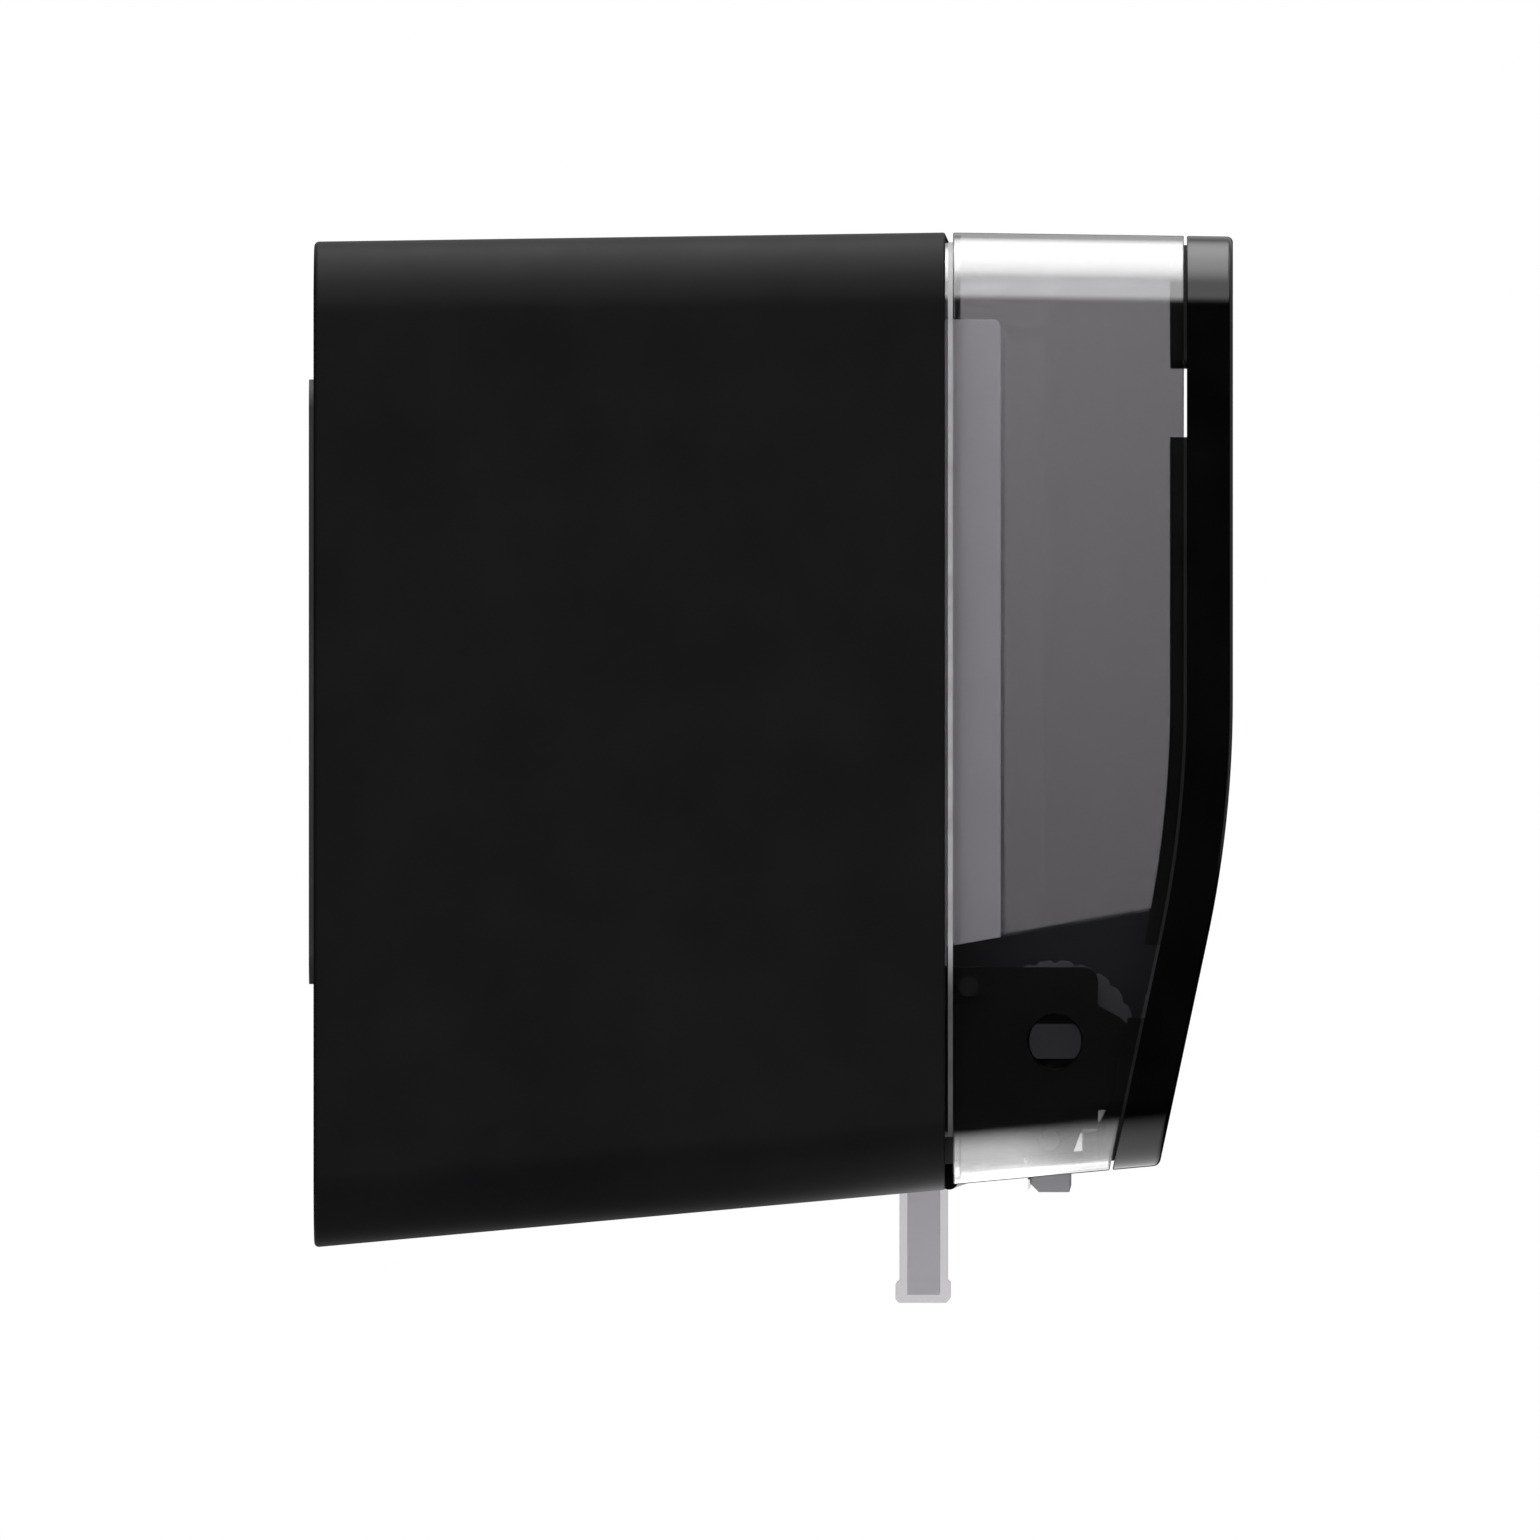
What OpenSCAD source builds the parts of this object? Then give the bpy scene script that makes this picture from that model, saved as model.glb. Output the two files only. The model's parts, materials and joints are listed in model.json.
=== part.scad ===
// Wall-hung dispenser for a roll of cling film, fed by a push lever.
// X runs across the width, the front faces -Y and Z is up. The origin is the middle of the
// wall plate's back face. Side outlines are drawn as [depth from the wall, height].

/* [Casing] */
// Width of the casing where the cover meets the body
casing_w = 380; // [380:1:400]
// Height of the casing's top edge at the joint, above the wall plate's middle
casing_top = 124.9; // [124:0.1:128]
// Height of the casing's bottom edge at the joint, below the wall plate's middle
casing_bottom = 141.3; // [141:0.1:142]
// Depth from the wall to the joint between body and cover
joint_d = 177.5; // [177:0.1:178]
// Depth from the wall to the flat upper part of the front
front_d = 257.5; // [256:0.5:262]
// Radius of the casing's four long corners
corner_r = 20; // [16:1:24]
// Wall thickness of the casing
wall = 2.5; // [2.2:0.1:2.8]
// Draft of the top and the sides, in degrees
draft = 0.816; // [0.7:0.01:0.9]
// Slope of the underside, in degrees
floor_slope = 5.24; // [5:0.01:5.4]

/* [Front] */
// Depth of the black front panel
panel_d = 12.8; // [12:0.1:14]
// Height where the front starts to curve back
curve_z = -5; // [-8:1:0]
// Radius of the front's curve
curve_r = 318; // [300:1:340]
// Angle at which the lower front leans back
lean = 12; // [11:0.5:12]
// Gap between the body and the cover
joint_gap = 2.2; // [2:0.1:2.4]

/* [Wall plate] */
// Width of the wall plate
plate_w = 270; // [260:1:300]
// Height of the wall plate
plate_h = 168.6; // [160:0.2:180]
// Thickness of the wall plate
plate_t = 2; // [2:0.1:2]
// Distance across between the wall screws
wall_hole_x = 220; // [200:1:230]
// Distance in height between the wall screws
wall_hole_z = 120; // [110:1:130]
// Diameter of the wall screw holes
wall_hole = 5.5; // [4.5:0.1:6]

/* [Roll] */
// Width of the film
film_w = 300; // [290:1:300]
// Diameter of the full roll of film
roll_dia = 160; // [60:1:160]
// Outside diameter of the cardboard core
core_dia = 60; // [56:0.5:60]
// Inside diameter of the cardboard core
core_bore = 52; // [52:0.1:52]
// Travel of the sprung right-hand roll holder
plunger_travel = 11; // [0:0.5:11]

/* [Drive] */
// Gear module
gear_module = 1; // [1:1:1]
// Teeth on the full circle of the lever's sector gear
sector_teeth = 60; // [60:1:60]
// Teeth on the drive roller's pinion
pinion_teeth = 20; // [20:1:20]
// Stroke of the push lever, in degrees
lever_stroke = 20; // [10:1:20]
// Radius of the drive roller over its rubber sleeves
grip_r = 11; // [10.5:0.1:11]
// Radius of the pressure roller
nip_r = 8; // [7.5:0.1:8]
// Radius of the thumb wheel that feeds the film by hand
wheel_r = 22.5; // [20:0.5:22.5]

/* [Hidden] */
$fn = 48;

slice = 0.01;
casing_half = casing_w / 2;
cover_d = joint_d + joint_gap;
cover_lift = 1.2;
edge_r = 1.4;
back_wall = 3;
rim = 2.1;
tongue_inset = wall + 0.3;
tongue_t = 1.8;
tongue_d = joint_d - 9;
tongue_end = -126.5;

lever_at = [171, -115];
mesh_dist = gear_module * (sector_teeth + pinion_teeth) / 2;
mesh_angle = 22;
drive_at = lever_at + mesh_dist * [cos(mesh_angle), sin(mesh_angle)];
nip_gap = 0.3;
nip_at = drive_at - [grip_r + nip_r + nip_gap, 0];
roll_at = [98, 20];
hinge_at = [joint_d + 1.1, -casing_bottom + 2.3];
hinge_r = 2.4;
hinge_pin_r = 1.2;
hinge_x = [142, 147.3, 152.7, 158];

cheek_x = [180, 182.5];
chassis_x = [165, 168];
guard_x = 183;
guard_wall = 1.8;
gear_x = [174.5, 179];
wheel_x = [170, 173.6];
shaft_r = 3;
drive_shaft_r = 4;
shaft_end = -180.8;
cap_r = 7.2;
axle_r = 2.5;
fit_gap = 0.02;
run_gap = 0.05;
bush_r = 5;
tie_rod_at = [[156, -88], [152, -122]];
guard_posts = [[156, -97], [184, -84.8]];
chute_pegs = [[192, -84.5], [214, -84.8]];
bar_end_at = [206.5, -127.5];
foot_at = [158, 158];
foot_z = -136;

plate_screw_x = 90;
plate_screw_z = 40;
plate_boss_d = 9;
cheek_screw_at = [[25, 85], [25, -65], [150, 85], [150, -65]];

lever_half = 48;
lever_d = [164.2, 177.5];
lever_foot_d = [163.1, 178.3];
lever_bottom = -173.8;
lever_foot_h = 6;
lever_wall = 2.2;

plunger_r = 12;
plunger_x = [155.8, 172];
plunger_pin_r = 5;
plunger_stop = plunger_x[1] + plunger_travel + 0.3;
housing_x = 165;
holder_r = 25;
holder_t = 3;
hub_flange_r = 33;
spigot_r = 7;

lock_d = 158;
lock_r = 6.5;
lock_thread_r = 9.5;
lock_top = 124.4;
lock_low = 107;
cam_z = 100.5;
cam_shank_r = 4;
catch_d = 170.4;
catch_screw_d = 174;
catch_screw_x = [4, 18];

// Heights and half width of the outer casing at a depth from the wall
function top_at(d) = casing_top - abs(d - joint_d) * tan(draft);
function floor_at(d) = -casing_bottom + (d - joint_d) * tan(floor_slope)
    + (d > joint_d + joint_gap / 2 ? cover_lift : 0);
function half_at(d) = casing_half - abs(d - joint_d) * tan(draft);

// Height of the chute's top edge at a depth
function chute_top(d) = -73.1 + (d - 181) * 0.175;

// Outline of the front, from the top down: straight, then an arc, then straight again
arc_end = [front_d - curve_r * (1 - cos(lean)), curve_z - curve_r * sin(lean)];
front_low = -160;
front_line = concat([[front_d, 140], [front_d, curve_z]],
    [for (a = [1:1:floor(lean)]) [front_d - curve_r * (1 - cos(a)), curve_z - curve_r * sin(a)]],
    [[arc_end.x - (arc_end.y - front_low) * tan(lean), front_low]]);
function shifted(line, by) = [for (p = line) [p.x + by, p.y]];
function backward(line) = [for (i = [len(line) - 1:-1:0]) line[i]];

// An outline of [depth, height], extruded across the width from x0 to x1
module across(x0, x1) {
    translate([x1, 0, 0]) rotate([90, 0, -90]) linear_extrude(x1 - x0) children();
}

// A round bar across the width
module bar(x0, x1, at, r) {
    translate([x0, -at.x, at.y]) rotate([0, 90, 0]) cylinder(h = x1 - x0, r = r);
}

// A round tube across the width
module tube(x0, x1, at, r, bore) {
    difference() {
        bar(x0, x1, at, r);
        bar(x0 - 1, x1 + 1, at, bore);
    }
}

// A box given by its widths, depths and heights
module block(x, d, z) {
    translate([x[0], -d[1], z[0]]) cube([x[1] - x[0], d[1] - d[0], z[1] - z[0]]);
}

// A round bar that points at the wall, from depth d0 to d1
module stub(x, z, d0, d1, r) {
    translate([x, -d0, z]) rotate([90, 0, 0]) cylinder(h = d1 - d0, r = r);
}

// The right-hand shape and its mirror image on the left
module both_sides() {
    children();
    mirror([1, 0, 0]) children();
}

// A thin rounded slice at depth d, with its half width, top and floor given, shrunk by inset
module slice_of(d, half, top, low, inset) {
    r = corner_r - inset;
    for (side = [-1, 1], z = [top - inset - r, low + inset + r])
        translate([side * (half - inset - r), -d, z])
            rotate([90, 0, 0]) cylinder(h = slice, r = r, $fn = 32);
}

// A thin rounded slice of the casing at one depth, shrunk by inset
module slice_at(d, inset) {
    slice_of(d, half_at(d), top_at(d), floor_at(d), inset);
}

// A solid length of the casing, shrunk by inset
module casing(d0, d1, inset) {
    hull() {
        slice_at(d0, inset);
        slice_at(d1 - slice, inset);
    }
}

// Everything between two copies of the front's outline, shifted in depth
module front_band(from, to) {
    across(-casing_half - 1, casing_half + 1)
        polygon(concat(shifted(front_line, to), backward(shifted(front_line, from))));
}

// Everything behind the front's outline, shifted in depth
module behind_front(d0, shift) {
    across(-casing_half - 1, casing_half + 1)
        polygon(concat(shifted(front_line, shift), [[d0, front_low], [d0, 140]]));
}

// Points of an involute gear, with its first tooth on the X axis
function involute(base, t) = base * [cos(t) + t * PI / 180 * sin(t), sin(t) - t * PI / 180 * cos(t)];
function spin(p, a) = [p.x * cos(a) - p.y * sin(a), p.x * sin(a) + p.y * cos(a)];
function roll_to(base, r) = r <= base ? 0 : sqrt(pow(r / base, 2) - 1) * 180 / PI;
function flank(base, root, tip, half) = concat([spin([root, 0], -half)],
    [for (i = [0:3]) spin(involute(base, roll_to(base, max(root, base) + (tip - max(root, base)) * i / 3)),
        -half)]);
function tooth(teeth, slack) = let (
    pitch = gear_module * teeth / 2,
    base = pitch * cos(20),
    t = roll_to(base, pitch),
    lead = t - atan(t * PI / 180),
    half = 90 / teeth + lead - slack / pitch * 90 / PI,
    side = flank(base, pitch - 1.25 * gear_module, pitch + 0.95 * gear_module, half))
    concat(side, [for (i = [len(side) - 1:-1:0]) [side[i].x, -side[i].y]]);
module gear_outline(teeth, first, last, slack = 0.12) {
    one = tooth(teeth, slack);
    polygon([for (i = [first:last], p = one) spin(p, i * 360 / teeth)]);
}

// A coil of round wire along X
module coil(length, r, wire_r, turns) {
    steps = turns * 12;
    sides = 6;
    rings = [for (i = [0:steps], k = [0:sides - 1]) let (a = i * 30, b = k * 360 / sides)
        [length * i / steps + wire_r * sin(b), (r + wire_r * cos(b)) * cos(a),
            (r + wire_r * cos(b)) * sin(a)]];
    walls = [for (i = [0:steps - 1], k = [0:sides - 1]) let (n = (k + 1) % sides)
        [i * sides + k, i * sides + n, (i + 1) * sides + n, (i + 1) * sides + k]];
    ends = [[for (k = [sides - 1:-1:0]) k], [for (k = [0:sides - 1]) steps * sides + k]];
    polyhedron(rings, concat(walls, ends));
}

module wall_plate() {
    plate_r = 8;
    color("#1c1c1e") rotate([90, 0, 0]) linear_extrude(plate_t) difference() {
        union() {
            square([plate_w, plate_h - 2 * plate_r], center = true);
            square([plate_w - 2 * plate_r, plate_h], center = true);
            for (x = [-1, 1], z = [-1, 1])
                translate([x * (plate_w / 2 - plate_r), z * (plate_h / 2 - plate_r)]) circle(plate_r);
        }
        for (x = [-1, 1], z = [-1, 1]) {
            translate([x * wall_hole_x / 2, z * wall_hole_z / 2]) circle(d = wall_hole);
            translate([x * plate_screw_x, z * plate_screw_z]) circle(r = 2.1);
        }
    }
}

module at_plate_screws() {
    for (x = [-1, 1], z = [-1, 1]) translate([x * plate_screw_x, 0, z * plate_screw_z]) children();
}

module plate_nuts() {
    color("silver") at_plate_screws() difference() {
        translate([0, -plate_t, 0]) rotate([90, 0, 0]) cylinder(h = 3.2, r = 4.04, $fn = 6);
        stub(0, 0, 0, 10, 2 + fit_gap);
    }
}

module body_screws() {
    color("silver") at_plate_screws() difference() {
        union() {
            stub(0, 0, 0.5, plate_boss_d + 2, 2);
            stub(0, 0, plate_boss_d + 1, plate_boss_d + 3.4, 3.6);
        }
        block([-2.4, 2.4], [plate_boss_d + 2.4, plate_boss_d + 4], [-0.4, 0.4]);
        block([-0.4, 0.4], [plate_boss_d + 2.4, plate_boss_d + 4], [-2.4, 2.4]);
    }
}

module body_washers() {
    color("gray") at_plate_screws() difference() {
        stub(0, 0, plate_boss_d, plate_boss_d + 1, 6);
        stub(0, 0, plate_boss_d - 1, plate_boss_d + 2, 2.1);
    }
}

// One lug of the body's hinge, with its barrel round the pin
module body_lug(x0, x1) {
    front = cover_d - 0.4;
    across(x0, x1) polygon([[164, foot_z - 6], [172, -128.5], [174, tongue_end], [front, tongue_end],
        [front, -131.6], [176.4, -131.6], [176.4, -132.6], [front, -132.6],
        [front, hinge_at.y], [hinge_at.x, hinge_at.y], [joint_d - 1, -casing_bottom + 0.4]]);
    bar(x0, x1, hinge_at, hinge_r);
}

module rear_body() {
    past = 60;
    color("#19191b") difference() {
        union() {
            difference() {
                hull() {
                    slice_at(plate_t, edge_r);
                    slice_at(plate_t + edge_r, 0);
                    slice_at(joint_d - edge_r / 2, 0);
                    slice_at(joint_d - slice, edge_r / 3);
                }
                hull() {
                    slice_at(plate_t + back_wall, wall);
                    slice_of(joint_d + past, casing_half + past * tan(draft),
                        casing_top + past * tan(draft), -casing_bottom + past * tan(floor_slope), wall);
                }
            }
            at_plate_screws() stub(0, 0, plate_t + 1, plate_boss_d, 8);
            both_sides() {
                for (at = cheek_screw_at) bar(cheek_x[1], half_at(at.x) - 1, at, 4.5);
                translate([foot_at.x, -foot_at.y, foot_z - 6]) cylinder(h = 6, r = 5);
                body_lug(hinge_x[0], hinge_x[1] - 0.3);
                body_lug(hinge_x[2] + 0.3, hinge_x[3]);
            }
        }
        at_plate_screws() {
            stub(0, 0, plate_t - 1, plate_t + 3.4, 4.7);
            stub(0, 0, 0, plate_boss_d + 1, 2.1);
        }
        for (x = [-1, 1], z = [-1, 1]) stub(x * wall_hole_x / 2, z * wall_hole_z / 2, 0, 10, 6);
        both_sides() {
            for (at = cheek_screw_at) bar(cheek_x[1] - 1, half_at(at.x) - 1.4, at, 1.5 + fit_gap);
            translate([foot_at.x, -foot_at.y, foot_z - 4.5]) cylinder(h = 6, r = 1.5 + fit_gap);
            for (x = [hinge_x[0] - 0.1, hinge_x[2] + 0.2]) bar(x, x + 5.2, hinge_at, hinge_pin_r + fit_gap);
            block([hinge_x[1] - 0.3, hinge_x[2] + 0.3], [hinge_at.x - hinge_r - 0.4, joint_d + 5],
                [-casing_bottom - 2, -casing_bottom + 6]);
        }
        block([-lever_half - 2, lever_half + 2], [150, joint_d + 1],
            [-casing_bottom - 20, -120]);
        translate([0, -lock_d, lock_top - 1.2]) cylinder(h = 5, r = 11.5);
        translate([0, -lock_d, lock_top - 8]) cylinder(h = 10, r = lock_thread_r + fit_gap);
    }
}

module cheek_outline() {
    front = 193;
    back = 10;
    top = 100.6;
    low = -79;
    step_d = 178;
    r = 2;
    difference() {
        union() {
            polygon([[back, low], [step_d, low], [step_d, chute_top(step_d)], [front, chute_top(front)],
                [front, top - r], [front - r, top], [back, top]]);
            translate([front - r, top - r]) circle(r);
        }
        for (at = cheek_screw_at) translate(at) circle(1.6);
    }
}

module at_holder_screws() {
    for (a = [90, 210, 330]) translate([0, -20 * cos(a), 20 * sin(a)]) children();
}

module cheek_left() {
    color("#c9c8cc") difference() {
        across(-cheek_x[1], -cheek_x[0]) cheek_outline();
        at_holder_screws() bar(-cheek_x[1] - 1, -cheek_x[0] + 1, roll_at, 1.5 + fit_gap);
    }
}

module cheek_right() {
    color("#c9c8cc") difference() {
        across(cheek_x[0], cheek_x[1]) cheek_outline();
        at_holder_screws() bar(cheek_x[0] - 1, cheek_x[1] + 1, roll_at, 1.5 + fit_gap);
        bar(cheek_x[0] - 1, cheek_x[1] + 1, roll_at, 15.1);
    }
}

module cheek_screws() {
    color("silver") both_sides() for (at = cheek_screw_at) {
        bar(cheek_x[0] - 2, cheek_x[0], at, 3.4);
        bar(cheek_x[0] - 1, half_at(at.x) - 1.6, at, 1.5);
    }
}

module roll_spigot() {
    color("#26262a") difference() {
        union() {
            bar(-cheek_x[0], -cheek_x[0] + holder_t, roll_at, holder_r);
            bar(-cheek_x[0] + 2, -cheek_x[0] + 8, roll_at, plunger_r);
            bar(-cheek_x[0] + 3, -film_w / 2 + 13, roll_at, spigot_r);
        }
        at_holder_screws() bar(-cheek_x[1], -cheek_x[0] + 4, roll_at, 1.6);
    }
}

module holder_screws() {
    color("silver") for (a = [0, 1]) mirror([a, 0, 0]) at_holder_screws() {
        bar(cheek_x[0] - 5, cheek_x[0] - 3, roll_at, 3);
        bar(cheek_x[0] - 4, cheek_x[1], roll_at, 1.5);
    }
}

module hub_left() {
    color("#26262a") difference() {
        union() {
            bar(-film_w / 2 - 2.8, -film_w / 2 - 0.2, roll_at, hub_flange_r);
            bar(-film_w / 2 - 0.2, -film_w / 2 + 15, roll_at, core_bore / 2 - fit_gap);
        }
        bar(-film_w / 2 - 4, -film_w / 2 + 16, roll_at, spigot_r + run_gap);
    }
}

module roll_core() {
    color("#a98a63") tube(-film_w / 2, film_w / 2, roll_at, core_dia / 2, core_bore / 2);
}

module film_roll() {
    color("#dfe6ea") tube(-film_w / 2, film_w / 2, roll_at, roll_dia / 2, core_dia / 2);
}

module plunger_housing() {
    color("#26262a") difference() {
        union() {
            bar(cheek_x[0] - holder_t, cheek_x[0], roll_at, holder_r);
            bar(housing_x, plunger_stop + 2, roll_at, plunger_r + 3);
        }
        bar(housing_x - 1, plunger_stop, roll_at, plunger_r + run_gap);
        at_holder_screws() bar(cheek_x[0] - 4, cheek_x[1], roll_at, 1.6);
    }
}

module plunger() {
    color("#3a3a3e") difference() {
        union() {
            bar(plunger_x[0], plunger_x[1], roll_at, plunger_r);
            bar(film_w / 2 + 3.1, plunger_x[0] + 0.2, roll_at, plunger_r - 3);
            bar(film_w / 2 - 12, plunger_x[0] + 0.2, roll_at, plunger_pin_r);
        }
        bar(plunger_x[0] + 2.2, plunger_x[1] + 1, roll_at, plunger_r - 2);
    }
}

module plunger_clip() {
    color("silver") tube(film_w / 2 - 11.4, film_w / 2 - 10.4, roll_at, 8,
        plunger_pin_r + fit_gap);
}

module plunger_spring() {
    spring_x = [plunger_x[0] + 3.3, plunger_stop - 0.9];
    color("silver") translate([spring_x[0], -roll_at.x, roll_at.y])
        coil(spring_x[1] - spring_x[0], 8.4, 0.7, 6);
}

module hub_right() {
    color("#26262a") difference() {
        union() {
            bar(film_w / 2 + 0.2, film_w / 2 + 2.8, roll_at, hub_flange_r);
            bar(film_w / 2 - 10, film_w / 2 + 0.2, roll_at, core_bore / 2 - 0.3);
        }
        bar(film_w / 2 - 11, film_w / 2 + 6, roll_at, plunger_pin_r + run_gap);
    }
}

module chassis_outline() {
    difference() {
        union() {
            polygon([[150, foot_z], [150, -84], [154, -80], [216, -80], [216, -84], [220, -84],
                [220, -112], [213, -131.5], [177, -134.2], [172, foot_z]]);
            translate([216, -84]) circle(4);
        }
        translate(lever_at) circle(bush_r + fit_gap);
        translate(drive_at) circle(bush_r + 1 + fit_gap);
        translate([nip_at.x - 10, nip_at.y - axle_r - fit_gap])
            square([10, 2 * (axle_r + fit_gap)]);
        translate(nip_at) circle(axle_r + fit_gap);
        for (at = tie_rod_at) translate(at) circle(3 + fit_gap);
        for (at = chute_pegs) translate(at) circle(3 + fit_gap);
        for (at = guard_posts) translate(at) circle(1.5 + fit_gap);
        translate(bar_end_at) circle(1.6);
    }
}

// The right-hand side plate of the drive, with its foot on the body's floor
module chassis_plate() {
    across(chassis_x[0], chassis_x[1]) chassis_outline();
    difference() {
        block([150, chassis_x[0] + 1], [150, 166], [foot_z, foot_z + 3]);
        translate([foot_at.x, -foot_at.y, foot_z - 1]) cylinder(h = 6, r = 1.6);
    }
}

module chassis_left() {
    color("#202022") mirror([1, 0, 0]) chassis_plate();
}

module chassis_right() {
    color("#202022") chassis_plate();
}

module chassis_screws() {
    color("silver") both_sides() translate([foot_at.x, -foot_at.y, 0]) {
        translate([0, 0, foot_z + 3]) cylinder(h = 2, r = 3);
        translate([0, 0, foot_z - 4]) cylinder(h = 8, r = 1.5);
    }
}

module tie_rods() {
    color("silver") for (at = tie_rod_at) bar(-chassis_x[1], chassis_x[1], at, 3);
}

// A flanged bush on the inner face of a side plate
module bush(at, r, bore) {
    difference() {
        union() {
            bar(chassis_x[0] - 1, chassis_x[0], at, r + 2);
            bar(chassis_x[0], chassis_x[1] + 0.3, at, r);
        }
        bar(chassis_x[0] - 2, chassis_x[1] + 1, at, bore);
    }
}

module bushes() {
    color("#e8e6df") both_sides() {
        bush(lever_at, bush_r, shaft_r + run_gap);
        bush(drive_at, bush_r + 1, drive_shaft_r + run_gap);
    }
}

module lever_shaft() {
    color("silver") bar(shaft_end, chassis_x[1] + 2, lever_at, shaft_r);
}

module sector_gear() {
    half_span = 1 + round(lever_stroke / 2 * sector_teeth / 360);
    root_r = gear_module * (sector_teeth / 2 - 1.2);
    turn = mesh_angle + round(lever_stroke / 2 * sector_teeth / 360) * 360 / sector_teeth;
    edge = (half_span + 0.5) * 360 / sector_teeth;
    color("#d8d4c8") difference() {
        union() {
            across(-gear_x[1], -gear_x[0]) translate(lever_at) rotate(turn) union() {
                gear_outline(sector_teeth, -half_span, half_span);
                polygon(concat([[0, 0]], [for (i = [-6:6])
                    root_r * [cos(i / 6 * edge), sin(i / 6 * edge)]]));
            }
            bar(-gear_x[1], -gear_x[0] + 2, lever_at, 7);
        }
        bar(-gear_x[1] - 1, -gear_x[0] + 4, lever_at, shaft_r + fit_gap);
    }
}

module shaft_clips() {
    color("silver") {
        tube(shaft_end + 0.3, shaft_end + 1.4, lever_at, 5.5, shaft_r + fit_gap);
        tube(chassis_x[1] + 0.6, chassis_x[1] + 1.6, lever_at, 5.5, shaft_r + fit_gap);
    }
}

module pinion_gear() {
    color("#d8d4c8") difference() {
        across(-gear_x[1], -gear_x[0]) translate(drive_at)
            rotate(mesh_angle + 180 + 180 / pinion_teeth) union() {
                gear_outline(pinion_teeth, 0, pinion_teeth - 1);
                circle(r = gear_module * pinion_teeth / 2 - 1.25 * gear_module + 0.1);
            }
        bar(-gear_x[1] - 1, -gear_x[0] + 1, drive_at, drive_shaft_r + run_gap);
    }
}

module drive_shaft() {
    color("silver") bar(shaft_end, chassis_x[1] + 2, drive_at, drive_shaft_r);
}

// The flat-sided cap that closes the drive shaft's left end
module drive_cap() {
    half_flat = 4.8;
    color("#4a4b4e") difference() {
        intersection() {
            bar(-guard_x + 0.3, shaft_end + 1.4, drive_at, cap_r);
            block([-guard_x, shaft_end + 2], [drive_at.x - cap_r - 1, drive_at.x + cap_r + 1],
                [drive_at.y - half_flat, drive_at.y + half_flat]);
        }
        bar(shaft_end - 0.1, shaft_end + 2, drive_at, drive_shaft_r + fit_gap);
    }
}

module drive_roller() {
    color("#3a3a3e") tube(-152, 152, drive_at, grip_r - 3, drive_shaft_r + fit_gap);
}

module grip_sleeves() {
    sleeve = 50;
    color("#55565a") for (i = [-2:2])
        tube(i * 60 - sleeve / 2, i * 60 + sleeve / 2, drive_at, grip_r, grip_r - 3);
}

module feed_wheel() {
    scallops = 24;
    color("#6b6c70") difference() {
        bar(-wheel_x[1], -wheel_x[0], drive_at, wheel_r);
        bar(-wheel_x[1] - 1, -wheel_x[0] + 1, drive_at, drive_shaft_r + fit_gap);
        for (i = [0:scallops - 1])
            bar(-wheel_x[1] - 1, -wheel_x[0] + 1,
                drive_at + (wheel_r + 0.6) * [cos(i * 360 / scallops), sin(i * 360 / scallops)], 1.4);
    }
}

module pressure_roller() {
    color("#8a8b90") tube(-150, 150, nip_at, nip_r, axle_r + run_gap);
}

module pressure_axle() {
    color("silver") bar(-chassis_x[1] - 0.4, chassis_x[1] + 0.4, nip_at, axle_r);
}

module nip_springs() {
    length = 5.6;
    color("silver") both_sides()
        translate([(chassis_x[0] + chassis_x[1]) / 2, -nip_at.x + 9.1, nip_at.y])
            rotate([0, 0, -90]) coil(length, 1.7, 0.35, 4);
}

// Outline of the black guards over the ends of the drive
module guard_outline(inset) {
    r = 4 - inset;
    low = -124 + inset;
    top = -79.4 - inset;
    back = 150.5 + inset;
    front = 220 - inset;
    nose = 229 - inset;
    nose_low = -119 + inset;
    translate([back, low]) square([front - back - r, top - low]);
    translate([back, low]) square([front - back, top - low - r]);
    translate([front - r, top - r]) circle(r);
    polygon([[front - 1, nose_low], [nose, nose_low], [nose, -98.4 - inset], [nose - 0.9, -95.3 - inset],
        [nose - 3, -93.3 - inset], [front, -90 - inset], [front - 1, -90 - inset]]);
}

// The left guard, with its posts for two screws
module guard() {
    difference() {
        union() {
            difference() {
                across(-guard_x, -chassis_x[1]) guard_outline(0);
                across(-guard_x + guard_wall, -chassis_x[1] + 1) guard_outline(guard_wall);
            }
            for (at = guard_posts) bar(-guard_x + 1, -chassis_x[1], at, 3.2);
        }
        for (at = guard_posts) bar(-guard_x - 1, 0, at, 1.6);
    }
}

// The left guard also has slots for the thumb wheel and the gears, and a hole for the cap
module gear_cover() {
    slot = wheel_r + 2;
    gear_slot = 13;
    color("#0c0c0d") difference() {
        guard();
        bar(-guard_x - 1, -guard_x + guard_wall + 1, drive_at, cap_r + 0.6);
        block([-wheel_x[1] - 0.6, -wheel_x[0] + 0.6], [drive_at.x - slot, drive_at.x + slot],
            [drive_at.y - slot, drive_at.y + slot]);
        block([-gear_x[1] - 0.6, -gear_x[0] + 0.6], [215, 230],
            [drive_at.y - gear_slot, drive_at.y + gear_slot]);
    }
}

module end_cover() {
    color("#0c0c0d") mirror([1, 0, 0]) guard();
}

module guard_screws() {
    color("silver") both_sides() for (at = guard_posts) {
        bar(guard_x, guard_x + 1.6, at, 2.8);
        bar(chassis_x[0] - 1, guard_x + 1, at, 1.5);
    }
}

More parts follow.
